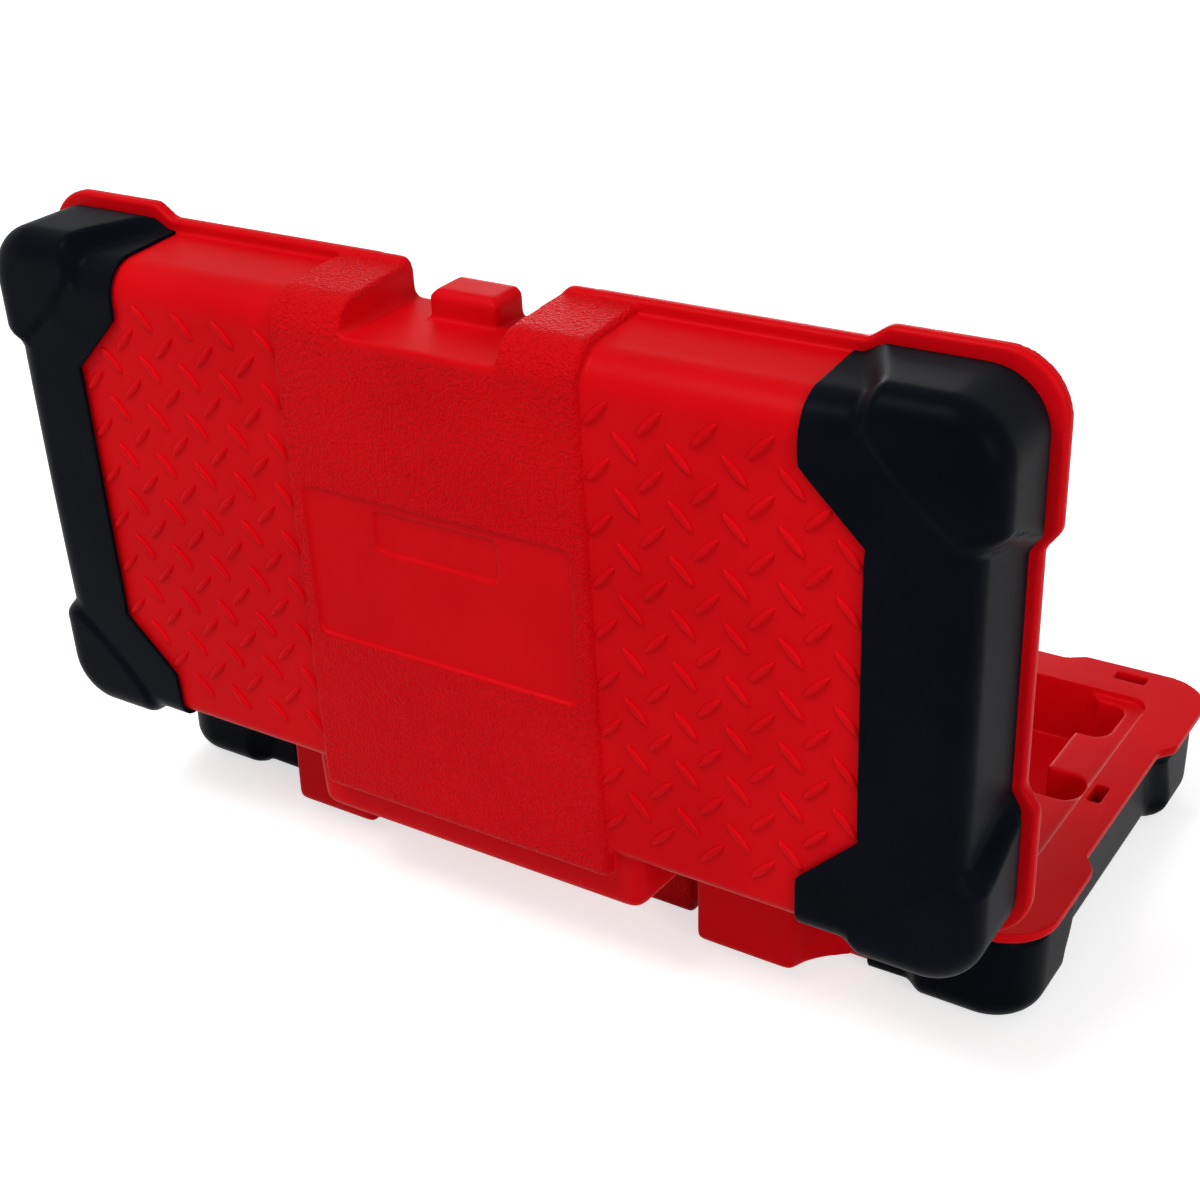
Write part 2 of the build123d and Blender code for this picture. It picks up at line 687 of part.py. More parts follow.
nodes = {
    "base_shell": in_base(base_shell()),
    "lid_shell": in_lid(lid_shell()),
    "base_guard_right": in_base(guard_right),
    "base_guard_left": in_base_left(guard_right),
    "lid_guard_right": in_lid(guard_right),
    "lid_guard_left": in_lid(left(guard_right)),
    "hinge_pin_right": in_base(hinge_pin_right),
    "hinge_pin_left": in_base_left(hinge_pin_right),
    "latch": opened_latch(in_base(latch())),
    "latch_pin": in_base(latch_pin),
    "carry_handle": in_base(carry_handle()),
    "handle_pin_right": in_base(rivet_right),
    "handle_pin_left": in_base_left(rivet_right),
}

for name, shape in nodes.items():
    export_step(shape, f"parts/{name}.step")
    print(name, round(shape.volume / 1000, 1), "cm3", len(shape.solids()), "solid(s)")
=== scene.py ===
import bmesh
import bpy
import math
import numpy as np
from mathutils import Matrix, Vector


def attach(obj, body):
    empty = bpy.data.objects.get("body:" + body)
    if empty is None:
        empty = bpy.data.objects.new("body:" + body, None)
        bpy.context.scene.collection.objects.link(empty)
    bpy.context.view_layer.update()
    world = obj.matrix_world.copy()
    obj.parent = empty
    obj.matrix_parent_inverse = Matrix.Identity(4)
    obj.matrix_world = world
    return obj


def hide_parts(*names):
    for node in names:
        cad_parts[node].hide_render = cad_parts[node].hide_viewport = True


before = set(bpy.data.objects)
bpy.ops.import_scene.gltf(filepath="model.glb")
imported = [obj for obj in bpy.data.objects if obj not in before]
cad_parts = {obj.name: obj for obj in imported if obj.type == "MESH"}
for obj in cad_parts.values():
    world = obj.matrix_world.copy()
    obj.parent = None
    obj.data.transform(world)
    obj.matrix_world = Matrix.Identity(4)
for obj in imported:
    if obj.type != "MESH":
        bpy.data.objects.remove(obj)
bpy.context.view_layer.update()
mm = 0.001

# the two halves of the case share one half frame: x along the case, y from the hinge line
# towards the front as negative, t from the rim outwards. millimetres until a mesh is made
half = {
    "length": 400.0, "width": 207.0, "centreY": -111.5,
    "face": 40.4,  # t of the moulding's face
    "rest": 43.0,  # t of the band and the guards, which the case stands on
    "draft": math.tan(math.radians(2.95)), "openAngle": math.radians(92.95),
    "wallFront": -205.5, "wallRear": -17.5, "wallEnd": 190.5,
    "frontRound": 13.0, "rearRound": 6.0, "endRound": 9.0,
}
weld = 2e-6  # points of a mesh nearer than this, in metres, are one point


def baseFromHalf(p):  # the base is the half frame turned upside down
    p = np.asarray(p, float)
    return np.stack([p[..., 0], p[..., 1] - half["centreY"], half["rest"] - p[..., 2]], -1)


def lidFromHalf(p):  # the lid is the half frame turned about the hinge line
    p = np.asarray(p, float)
    c, s = math.cos(half["openAngle"]), math.sin(half["openAngle"])
    y = p[..., 1] * c + p[..., 2] * s - half["centreY"]
    z = -p[..., 1] * s + p[..., 2] * c + half["rest"]
    return np.stack([p[..., 0], y, z], -1)


def halfFromBase(p):
    return np.stack([p[..., 0], p[..., 1] + half["centreY"], half["rest"] - p[..., 2]], -1)


def halfFromLid(p):
    c, s = math.cos(half["openAngle"]), math.sin(half["openAngle"])
    y, z = p[..., 1] + half["centreY"], p[..., 2] - half["rest"]
    return np.stack([p[..., 0], y * c - z * s, y * s + z * c], -1)


# materials
def linear(hexText):  # sRGB hex to the linear colour that the shader wants
    rgb = [int(hexText[i:i + 2], 16) / 255 for i in (1, 3, 5)]
    return [c / 12.92 if c <= 0.04045 else ((c + 0.055) / 1.055) ** 2.4 for c in rgb] + [1.0]


def addNode(tree, kind, links=(), **settings):
    # adds a node; settings name a property, or an input with _ for its spaces, and links are
    # (from socket, to input)
    node = tree.nodes.new("ShaderNode" + kind)
    for name, value in settings.items():
        if name in node.inputs:
            node.inputs[name].default_value = value
        elif hasattr(node, name):
            setattr(node, name, value)
        else:
            node.inputs[name.replace("_", " ")].default_value = value
    for source, target in links:
        tree.links.new(source, node.inputs[target])
    return node


def newMaterial(name):
    material = bpy.data.materials.new(name)
    material.use_nodes = True
    tree = material.node_tree
    tree.nodes.clear()
    place = addNode(tree, "TexCoord").outputs["Object"]
    return material, tree, place


# what all the moulded plastics share: where the cloud's colour ramp starts and ends, and the
# leathery grain, a rough noise with rounded cells that are wider than it is
moulded = {"cloudRamp": (0.3, 0.7), "grainRough": 0.55, "cellsPerGrain": 1.6, "cellSoft": 0.6}


def mouldedPlastic(name, spec):
    # a moulded plastic: cloudy colour, uneven gloss, and a bump of one or two real sizes
    material, tree, place = newMaterial(name)
    cloud = addNode(tree, "TexNoise", [(place, "Vector")], Scale=1000 / spec["cloudMm"], Detail=3.0)
    shade = addNode(tree, "ValToRGB", [(cloud.outputs["Fac"], "Fac")])
    for stop, position, colour in zip(shade.color_ramp.elements, moulded["cloudRamp"],
                                      (spec["dark"], spec["light"])):
        stop.position, stop.color = position, linear(colour)
    gloss = addNode(tree, "MapRange", [(cloud.outputs["Fac"], "Value")],
                    To_Min=spec["rough"][0], To_Max=spec["rough"][1])
    fine = addNode(tree, "TexNoise", [(place, "Vector")], Scale=1000 / spec["fineMm"], Detail=2.0)
    bump = addNode(tree, "Bump", [(fine.outputs["Fac"], "Height")],
                   Strength=1.0, Distance=spec["fineDeepMm"] * mm)
    if "grainMm" in spec:
        grain = addNode(tree, "TexNoise", [(place, "Vector")],
                        Scale=1000 / spec["grainMm"], Detail=1.5,
                        Roughness=moulded["grainRough"])
        cells = addNode(tree, "TexVoronoi", [(place, "Vector")], feature="SMOOTH_F1",
                        Scale=1000 / (moulded["cellsPerGrain"] * spec["grainMm"]),
                        Smoothness=moulded["cellSoft"])
        both = addNode(tree, "Math", [(grain.outputs["Fac"], 0), (cells.outputs["Distance"], 1)],
                       operation="MULTIPLY_ADD")
        tree.links.new(grain.outputs["Fac"], both.inputs[2])
        bump = addNode(tree, "Bump", [(both.outputs[0], "Height"), (bump.outputs[0], "Normal")],
                       Strength=1.0, Distance=spec["grainDeepMm"] * mm)
    surface = addNode(tree, "BsdfPrincipled",
                      [(shade.outputs["Color"], "Base Color"),
                       (gloss.outputs["Result"], "Roughness"), (bump.outputs[0], "Normal")],
                      IOR=spec["ior"], Specular_IOR_Level=spec["specular"],
                      Specular_Tint=linear(spec["tint"]))
    addNode(tree, "OutputMaterial", [(surface.outputs[0], "Surface")])
    return material


# blow-moulded high-density polyethylene, red: satin from the sand-blasted mould, a little cloudy
redMoulded = mouldedPlastic("redBlowMouldedPolyethylene", {
    "dark": "#C4040E", "light": "#CE0812", "rough": (0.36, 0.44), "specular": 0.028,
    "tint": "#FFFFFF", "ior": 1.5, "cloudMm": 45.0, "fineMm": 0.8, "fineDeepMm": 0.012})
# the same plastic where the mould is etched: a leathery grain about a millimetre across
redGrained = mouldedPlastic("redEtchedGrainPolyethylene", {
    "dark": "#C4030C", "light": "#CE0610", "rough": (0.40, 0.50), "specular": 0.028,
    "tint": "#FFFFFF", "ior": 1.5, "cloudMm": 45.0, "fineMm": 0.5, "fineDeepMm": 0.02,
    "grainMm": 1.05, "grainDeepMm": 0.78})
# injection-moulded polypropylene, black: satin, soft broad highlights with a cold edge
blackGuard = mouldedPlastic("blackMouldedPolypropylene", {
    "dark": "#06080D", "light": "#0A0D13", "rough": (0.34, 0.40), "specular": 0.017,
    "tint": "#DCE6FF", "ior": 1.49, "cloudMm": 30.0, "fineMm": 0.6, "fineDeepMm": 0.006})
# injection-moulded nylon, black: spark-eroded mould, a finer and duller texture
blackNylon = mouldedPlastic("blackSparkErodedNylon", {
    "dark": "#0A0B0E", "light": "#0E1013", "rough": (0.38, 0.48), "specular": 0.03,
    "tint": "#DCE6FF", "ior": 1.53, "cloudMm": 20.0, "fineMm": 0.5, "fineDeepMm": 0.03})


def plated(name, spec):
    # a bright plated wire with rings round it
    material, tree, place = newMaterial(name)
    waveLong = 2 * math.pi / 20  # the wave node's own wave at a scale of 1
    rings = addNode(tree, "TexWave", [(place, "Vector")], bands_direction="X",
                    Scale=1000 * waveLong / spec["ringMm"], Distortion=3.0, Detail=2.0)
    gloss = addNode(tree, "MapRange", [(rings.outputs["Fac"], "Value")],
                    To_Min=spec["rough"][0], To_Max=spec["rough"][1])
    bump = addNode(tree, "Bump", [(rings.outputs["Fac"], "Height")],
                   Strength=0.6, Distance=spec["deepMm"] * mm)
    surface = addNode(tree, "BsdfPrincipled",
                      [(gloss.outputs["Result"], "Roughness"), (bump.outputs[0], "Normal")],
                      Metallic=1.0, Base_Color=linear(spec["colour"]))
    addNode(tree, "OutputMaterial", [(surface.outputs[0], "Surface")])
    return material


# drawn steel wire with bright zinc: rings from drawing, coarser than real ones so that they show
zincWire = plated("zincPlatedSteelWire", {"colour": "#B9BABD", "ringMm": 2.513, "deepMm": 0.01,
                                          "rough": (0.22, 0.38)})
print("materials made")


# meshes
def meshObject(name, points, faces, material, body, replaces=()):
    mesh = bpy.data.meshes.new(name)
    mesh.from_pydata(points.tolist(), [], faces.tolist())
    mesh.update()
    piece = bpy.data.objects.new(name, mesh)
    bpy.context.scene.collection.objects.link(piece)
    finishPiece(piece, [material], body, replaces)
    return piece


def finishPiece(piece, materials, body, replaces=()):
    for material in materials:
        piece.data.materials.append(material)
    piece.data.polygons.foreach_set("use_smooth", np.ones(len(piece.data.polygons), bool))
    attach(piece, body)
    if replaces:
        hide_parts(*replaces)


def gridFaces(rows, columns, closeColumns=False):
    # quads of a grid of rows x columns points; closeColumns joins the last column to the first
    i = np.arange(rows - 1)[:, None]
    j = np.arange(columns if closeColumns else columns - 1)[None, :]
    a, b = i * columns + j, (i + 1) * columns + j
    c, d = i * columns + (j + 1) % columns, (i + 1) * columns + (j + 1) % columns
    return np.stack([a, c, d, b], -1).reshape(-1, 4)


def weighted(piece):  # flat faces stay flat beside their rounded edges
    modifier = piece.modifiers.new("evenShading", "WEIGHTED_NORMAL")
    modifier.mode, modifier.weight = "FACE_AREA", 100


def evaluated(mesh, kind, **settings):
    # the mesh as one modifier leaves it
    carrier = bpy.data.objects.new("carrier", mesh)
    bpy.context.scene.collection.objects.link(carrier)
    modifier = carrier.modifiers.new("step", kind)
    for name, value in settings.items():
        setattr(modifier, name, value)
    depsgraph = bpy.context.evaluated_depsgraph_get()
    result = bpy.data.meshes.new_from_object(carrier.evaluated_get(depsgraph))
    bpy.data.objects.remove(carrier)
    return result


def pointsOf(mesh):
    flat = np.empty(3 * len(mesh.vertices))
    mesh.vertices.foreach_get("co", flat)
    return flat.reshape(-1, 3)


def eased(mesh, passes):
    # rounds edges: in each pass a point goes halfway to the mean of its neighbours, and passes
    # holds how many passes each point takes, so that a place can stay sharper than another
    points = pointsOf(mesh)
    pair = np.empty(2 * len(mesh.edges), np.int32)
    mesh.edges.foreach_get("vertices", pair)
    a, b = pair[0::2], pair[1::2]
    count = len(points)
    shift = np.zeros((count, 3))
    valence = np.maximum(np.bincount(a, minlength=count) + np.bincount(b, minlength=count), 1)
    for turn in range(int(np.ceil(passes.max()))):
        share = 0.5 * np.clip(passes - turn, 0, 1)
        move = share > 0
        used = move[a] | move[b]
        near, far = a[used], b[used]
        for k in range(3):
            total = (np.bincount(near, points[far, k], count)
                     + np.bincount(far, points[near, k], count))
            shift[:, k] = share * (total / valence - points[:, k])
        points = points + shift
    mesh.vertices.foreach_set("co", points.ravel())
    mesh.update()


def mouldedCopy(node, name, form, materials, body, chooseMaterial=None):
    # a CAD node's own form with its edges rounded as a mould rounds them: the copy is merged,
    # laid square in the half frame, rebuilt from small voxels, eased, trimmed where the form
    # says so, thinned and laid back
    merged = bmesh.new()
    merged.from_mesh(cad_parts[node].data)
    bmesh.ops.remove_doubles(merged, verts=merged.verts, dist=weld)
    bmesh.ops.recalc_face_normals(merged, faces=merged.faces)
    mesh = bpy.data.meshes.new(name)
    merged.to_mesh(mesh)
    merged.free()
    mesh.vertices.foreach_set("co", (form["toHalf"](pointsOf(mesh) / mm) * mm).ravel())
    mesh = evaluated(mesh, "REMESH", mode="VOXEL", voxel_size=form["voxel"] * mm, adaptivity=0.0)
    eased(mesh, form["passes"](pointsOf(mesh) / mm))
    if "trim" in form:
        mesh.vertices.foreach_set("co", (form["trim"](pointsOf(mesh) / mm) * mm).ravel())
    triangles = 2 * len(mesh.polygons)
    if triangles > form["most"]:
        mesh = evaluated(mesh, "DECIMATE", decimate_type="COLLAPSE",
                         ratio=form["most"] / triangles)
    if chooseMaterial:
        middle = np.empty(3 * len(mesh.polygons))
        mesh.polygons.foreach_get("center", middle)
        mesh.polygons.foreach_set("material_index",
                                  chooseMaterial(middle.reshape(-1, 3) / mm).astype(np.int32))
    mesh.vertices.foreach_set("co", (form["fromHalf"](pointsOf(mesh) / mm) * mm).ravel())
    mesh.update()
    piece = bpy.data.objects.new(name, mesh)
    bpy.context.scene.collection.objects.link(piece)
    finishPiece(piece, materials, body, [node])
    outward(piece)
    weighted(piece)


def outward(piece):  # meshes point outwards, whichever way the half was turned
    mesh = bmesh.new()
    mesh.from_mesh(piece.data)
    bmesh.ops.remove_doubles(mesh, verts=mesh.verts, dist=weld)
    bmesh.ops.recalc_face_normals(mesh, faces=mesh.faces)
    mesh.to_mesh(piece.data)
    mesh.free()


# the raised band: half its width, how far it stands out of the wall, how far past a wall or
# face its skin is looked for, and where the notch and the lid's panel are left out of it
band = {"halfWide": 62.4, "stands": 3.1, "from": 4.6, "pastFace": 0.5, "pastWall": 1.0,
        "pastRound": 12.3, "notchX": 30.5, "notchY": -193.0,
        "panelX": 55.4, "panelY": (-138.6, -79.4), "panelUnder": 0.2}


def isBand(p, hasPanel):
    # 1 where a face of a half belongs to the raised band's grained skin, 0 elsewhere
    x, y, t = abs(p[:, 0]), p[:, 1], p[:, 2]
    lean = half["draft"] * t
    roundY = half["wallFront"] - band["stands"] + half["draft"] * half["rest"] + half["frontRound"]
    roundT = half["rest"] - half["frontRound"]
    onFace = t > half["face"] + band["pastFace"]
    onFront = y < half["wallFront"] + lean - band["pastWall"]
    onRear = (y > half["wallRear"] - lean + band["pastWall"]) & (not hasPanel)
    onRound = (y < roundY) & (t > roundT)
    onRound &= np.hypot(y - roundY, t - roundT) > band["pastRound"]
    inNotch = (x < band["notchX"]) & (y < band["notchY"])
    inPanel = hasPanel & (x < band["panelX"]) & (t < half["rest"] - band["panelUnder"])
    inPanel &= (band["panelY"][0] < y) & (y < band["panelY"][1])
    onBand = (x < band["halfWide"]) & (t > band["from"]) & (onFace | onFront | onRear | onRound)
    return onBand & ~inPanel & ~inNotch


# the shells' voxels in millimetres, their most triangles, and how many easing passes each
# place takes at that voxel size
soft = {"voxel": 0.62, "most": 190000, "plain": 3.5, "notch": 11.0, "tray": 9.0, "panel": 0.0,
        "slot": 0.6, "flange": 1.5, "hinge": 1.5, "block": 48.0}
far = 1000.0  # further than any point of a half
# where those places are, in x to either side, in y and in t. a later one lies over an earlier
zones = (("flange", (-far, far), (-far, far), (-far, 6.2)),
         ("tray", (-far, 179.5), (-190.0, -33.0), (-far, 32.0)),
         ("panel", (-far, 57.0), (-141.0, -77.0), (40.0, far)),
         ("notch", (-far, 44.0), (-far, -190.0), (-far, far)),
         ("slot", (158.0, 176.0), (-far, -200.0), (-far, 9.0)),
         ("slot", (158.0, 176.0), (-20.0, far), (-far, 9.0)),
         ("slot", (181.0, 189.0), (-120.5, -102.5), (-far, 9.0)),
         ("block", (-far, 135.0), (-17.0, far), (8.0, far)),
         ("hinge", (-far, far), (-8.0, far), (-far, 8.0)))
blockSoftens = (-14.0, -4.0)  # the hinge blocks stay crisp where they leave the wall


def shellPasses(p):
    x, y, t = abs(p[:, 0]), p[:, 1], p[:, 2]
    passes = np.full(len(p), soft["plain"])
    away = np.clip((y - blockSoftens[0]) / (blockSoftens[1] - blockSoftens[0]), 0, 1)
    for place, (xFrom, xTo), (yFrom, yTo), (tFrom, tTo) in zones:
        here = (xFrom < x) & (x < xTo) & (yFrom < y) & (y < yTo) & (tFrom < t) & (t < tTo)
        share = away[here] if place == "block" else 1.0
        passes[here] = soft["plain"] + (soft[place] - soft["plain"]) * share
    return passes


# the lid's sunk panel and the bare plaque in it: half lengths, middle in y, the level that
# each lies under, and how much deeper it goes than its voxels show it
sunk = {"panel": (55.4, 29.7, -109.0, 42.6, 0.25), "plaque": (25.9, 8.4, -126.5, 41.8, 0.45),
        "above": 40.0}
# the rims stay a little back, and the lip along the hinge a little more, so that the halves
# clear each other when the case is shut
rims = {"back": 0.12, "lipBack": 0.3, "lipY": (-9.0, -4.3), "lipUnder": -0.5}


def trimmed(p, hasPanel):
    # sets the rim and the hinge lip back, and presses the panel and the plaque in
    x, y, t = abs(p[:, 0]), p[:, 1], p[:, 2].copy()
    lipFrom, lipTo = rims["lipY"]
    p[(y < lipFrom) & (t < rims["back"]), 2] = rims["back"]
    lip = (lipFrom <= y) & (y < lipTo) & (rims["lipUnder"] < t) & (t < rims["lipBack"])
    p[lip, 2] = rims["lipBack"]
    for place in ("panel", "plaque") if hasPanel else ():
        halfX, halfY, middleY, level, deeper = sunk[place]
        inside = (x < halfX) & (abs(y - middleY) < halfY) & (sunk["above"] < t) & (t < level)
        p[inside, 2] -= deeper
    return p


for name, body, toHalf, fromHalf, hasPanel in (
        ("base_shell", "base", halfFromBase, baseFromHalf, False),
        ("lid_shell", "lid", halfFromLid, lidFromHalf, True)):
    form = dict(soft, toHalf=toHalf, fromHalf=fromHalf, passes=shellPasses,
                trim=lambda p: trimmed(p, hasPanel))
    mouldedCopy(name, name + "_moulding", form, [redMoulded, redGrained], body,
                lambda p: isBand(p, hasPanel))
print("shells softened")


# tread marks
tread = {
    "length": 12.8, "width": 3.1, "height": 1.3, "pitch": 18.8, "angle": 46.0,
    "firstX": 65.5, "firstY": -186.8, "stepX": 10.3, "stepY": 9.4,
    "columns": 5, "rows": 9, "alongCount": 17, "acrossCount": 9, "sink": 0.05,
    "tipPower": 0.62, "sidePower": 0.9, "crownPower": 6,
    "fieldX": (58.0, 159.0), "fieldY": 78.0, "armY": 52.0, "armLean": 21.4 / 21.1,
}


def treadMark():
    # one lens-shaped mark: its half width follows a power of the cosine over half a turn along
    # it, each cross-section is close to half an ellipse, and with a from -1 to 1 along it the
    # crown falls as 1 - |a|^6 towards both tips
    a = np.sin(np.linspace(-1, 1, tread["alongCount"])[:, None] * math.pi / 2)
    turn = np.linspace(-1, 1, tread["acrossCount"])[None, :] * math.pi / 2
    x = a * tread["length"] / 2 + 0 * turn
    y = np.sin(turn) * np.cos(a * math.pi / 2) ** tread["tipPower"] * tread["width"] / 2
    rise = np.cos(turn) ** tread["sidePower"] * (1 - np.abs(a) ** tread["crownPower"])
    return np.stack([x, y, rise * tread["height"] - tread["sink"]], -1)


def treadField(name, side, toRow, body):
    # marks in rows. every other row is set along by a little over half a pitch and turned the
    # other way, and the left end mirrors the right
    mark = treadMark()
    faces = gridFaces(tread["alongCount"], tread["acrossCount"])
    points, quads = [], []
    for row in range(2 * tread["rows"] - 1):
        for column in range(tread["columns"] + 1):
            odd = row % 2
            x = tread["firstX"] + column * tread["pitch"] + odd * tread["stepX"]
            y = tread["firstY"] + row * tread["stepY"]
            if not onTreadFace(x, y):
                continue
            turn = math.radians(tread["angle"]) * (1 if odd else -1)
            c, s = math.cos(turn), math.sin(turn)
            px = x + mark[..., 0] * c - mark[..., 1] * s
            py = y + mark[..., 0] * s + mark[..., 1] * c
            quads.append(faces + len(points) * mark.shape[0] * mark.shape[1])
            points.append(np.stack([side * px, py, half["face"] + mark[..., 2]], -1))
    points = toRow(np.array(points).reshape(-1, 3)) * mm
    outward(meshObject(name, points, np.concatenate(quads), redMoulded, body))


def onTreadFace(x, y):
    # inside the field that shows between the band and the guard, whose arms cut its corners
    down = abs(y - half["centreY"])
    nearest, furthest = tread["fieldX"]
    furthest -= max(down - tread["armY"], 0.0) * tread["armLean"]
    return nearest < x < furthest and down < tread["fieldY"]


for toRow, body in ((baseFromHalf, "base"), (lidFromHalf, "lid")):
    for side, end in ((1, "right"), (-1, "left")):
        treadField(f"{body}_tread_marks_{end}", side, toRow, body)
print("tread marks placed")


# end guards
guard = {
    "inset": 3.5, "corner": 20.0, "bumperRound": 10.5,  # the bumper's outline and top edge
    "low": 6.5, "skin": 1.4, "sleeve": 1.5,  # lowest t, wall, and how far out the sleeve stands
    "armEnd": 135.2, "waist": 156.6,  # x of the arm's tip and of the waist between the arms
    "armTurn": 73.2, "waistTurn": 52.1,  # y of the same, from the middle of the case
    "bumperLong": 59.0, "bumperEnd": 58.0, "ramp": 7.5, "rampLean": 0.28,
    "seamTall": 1.5, "seamRun": 0.7, "seamDeep": 1.3,  # the step-in beside the flange
    "faceDrop": 1.3, "creaseWide": 2.6, "creasePower": 1.2, "creaseFade": 22.0,
    "creaseShallow": 0.4, "creaseDown": 5.0,
    "edge": 0.9, "edgePower": 0.6, "rimRows": 8, "endRows": 5,
    "wallRows": 8, "roundRows": 12, "faceRows": 30, "spacing": 1.3,
}


def smooth(x):  # smoothstep from 0 to 1
    x = np.clip(x, 0, 1)
    return x * x * (3 - 2 * x)


def ramp(x):  # a straight ramp with eased ends
    return 0.5 * smooth(x) + 0.5 * np.clip(x, 0, 1)


def guardPath():
    # stations along half of the end: along the front arm, round the corner, to the middle of
    # the end. gives place and outward direction on the bumper's outline, and the inner edge
    g = guard
    halfX, halfY = half["length"] / 2 - g["inset"], half["width"] / 2 - g["inset"]
    r, gap = g["corner"], g["spacing"]
    arm = np.linspace(g["armEnd"], halfX - r, int((halfX - r - g["armEnd"]) / gap) + 1)
    turn = np.linspace(0, math.pi / 2, int(r * math.pi / 2 / gap) + 1)[1:]
    end = np.linspace(halfY - r, 0, int((halfY - r) / gap) + 1)[1:]
    placeX = np.concatenate([arm, halfX - r + r * np.sin(turn), np.full(len(end), halfX)])
    placeY = np.concatenate([np.full(len(arm), halfY), halfY - r + r * np.cos(turn), end])
    outX = np.concatenate([0 * arm, np.sin(turn), 1 + 0 * end])
    outY = np.concatenate([1 + 0 * arm, np.cos(turn), 0 * end])
    share = (arm - arm[0]) / (arm[-1] - arm[0])
    innerX = np.concatenate([g["armEnd"] + share * (g["waist"] - g["armEnd"]),
                             np.full(len(turn) + len(end), g["waist"])])
    # across from a place far down the end lies the same place on the waist, and further up the
    # waist's own end holds it back: w s / (1 + s^4)^(1/4), where s is the place over w
    w = g["waistTurn"]
    s = np.concatenate([[halfY - r], end]) / w
    waist = w * s / (1 + s ** 4) ** 0.25
    innerY = np.concatenate([g["armTurn"] + share * (w - g["armTurn"]),
                             np.linspace(w, waist[0], len(turn) + 1)[1:], waist[1:]])
    return placeX, placeY, outX, outY, innerX, innerY


def guardSurface(longRound):
    # profile carried along the path: a wall with draft, a quarter round, then the face ruled
    # to the inner edge. the bumper's and the sleeve's profiles are mixed by a smooth ramp that
    # leans towards the corner, and the bumper's wall steps in beside the flange. longRound is
    # the round of the case's long edge that the arm lies over
    g = guard
    placeX, placeY, outX, outY, innerX, innerY = guardPath()
    top = half["rest"]
    wallTall = top - g["bumperRound"] - g["low"]
    wall = np.concatenate([[0, g["seamTall"] / wallTall, (g["seamTall"] + g["seamRun"]) / wallTall],
                           np.linspace(0, 1, g["wallRows"])[1:-1]])[None]
    depthShare = np.concatenate([wall, np.ones((1, g["roundRows"]))], 1)
    seam = g["seamDeep"] * (depthShare * wallTall < g["seamTall"] + g["seamRun"] / 2)
    lean = g["rampLean"] * top * depthShare
    alongRamp = ramp((placeX[:, None] - lean - (half["length"] / 2 - g["bumperLong"]))
                     / g["ramp"] + 0.5)
    endRamp = ramp((placeY[:, None] - lean - (half["width"] / 2 - g["bumperEnd"]))
                   / g["ramp"] + 0.5)
    straight = 0.999  # the outline's direction where it runs along the end or along a side
    onEnd, onSide = outX[:, None] > straight, outY[:, None] > straight
    bumper = np.where(onEnd, endRamp, np.where(onSide, alongRamp, 1.0))
    # sleeve: the moulding's own section grown by the sleeve's thickness
    frontWall = -half["wallFront"] + half["centreY"] + g["sleeve"]
    endWall = half["wallEnd"] + g["sleeve"]
    frontIn = half["width"] / 2 - g["inset"] - frontWall
    endIn = half["length"] / 2 - g["inset"] - endWall
    sleeveIn = (frontIn * outY ** 2 + endIn * outX ** 2)[:, None]
    sleeveRound = ((longRound + g["sleeve"]) * outY ** 2
                   + (half["endRound"] + g["sleeve"]) * outX ** 2)[:, None]
    inset, depth = [], []
    for back, radius, draft in ((0 * sleeveIn, 0 * sleeveIn + g["bumperRound"], 0.0),
                                (sleeveIn, sleeveRound, half["draft"])):
        bend = np.linspace(0, math.pi / 2, g["roundRows"])[None, :]
        wallT = g["low"] + wall * (top - radius - g["low"])
        wallIn = back + draft * wallT
        topIn = back + draft * (top - radius)
        bendIn = topIn + radius * (1 - np.cos(bend))
        bendT = top - radius + radius * np.sin(bend)
        inset.append(np.concatenate([wallIn, bendIn], 1))
        depth.append(np.concatenate([wallT, bendT], 1))
    inward = (inset[0] + seam) * bumper + inset[1] * (1 - bumper)
    t = depth[0] * bumper + depth[1] * (1 - bumper)
    x = placeX[:, None] - outX[:, None] * inward
    y = placeY[:, None] - outY[:, None] * inward
    rule = np.linspace(0, 1, g["faceRows"])[None, 1:]
    faceX = x[:, -1:] + (innerX[:, None] - x[:, -1:]) * rule
    faceY = y[:, -1:] + (innerY[:, None] - y[:, -1:]) * rule
    x, y = np.concatenate([x, faceX], 1), np.concatenate([y, faceY], 1)
    t = np.concatenate([t, np.full(faceX.shape, top)], 1)
    return x, y, t - guardCrease(x, y, t)


def guardCrease(x, y, t):
    # how far the sleeve's face lies below the bumper's: a smooth step outside a superellipse
    # about the corner that joins the two ramps, shallow on the diagonal, fading further in
    g = guard
    inner = g["inset"] + g["bumperRound"]
    cornerX, cornerY = half["length"] / 2 - inner, half["width"] / 2 - inner
    lean = g["rampLean"] * half["rest"]
    reachX = cornerX - (half["length"] / 2 - g["bumperLong"] + lean)
    reachY = cornerY - (half["width"] / 2 - g["bumperEnd"] + lean)
    dx = np.clip((cornerX - x) / reachX, 0, None)
    dy = np.clip((cornerY - y) / reachY, 0, None)
    power = g["creasePower"]
    past = ((dx ** power + dy ** power) ** (1 / power) - 1) * reachX
    diagonal = np.clip(np.minimum(dx, dy) / np.maximum(np.maximum(dx, dy), 1e-6), 0, 1)
    fade = np.exp(-np.clip(past, 0, None) / g["creaseFade"])
    step = smooth(past / g["creaseWide"] + 0.5) * fade * (1 - g["creaseShallow"] * diagonal)
    return g["faceDrop"] * step * smooth((t - half["rest"]) / g["creaseDown"] + 1)


def unit(v):
    return v / np.maximum(np.linalg.norm(v, axis=-1, keepdims=True), 1e-9)


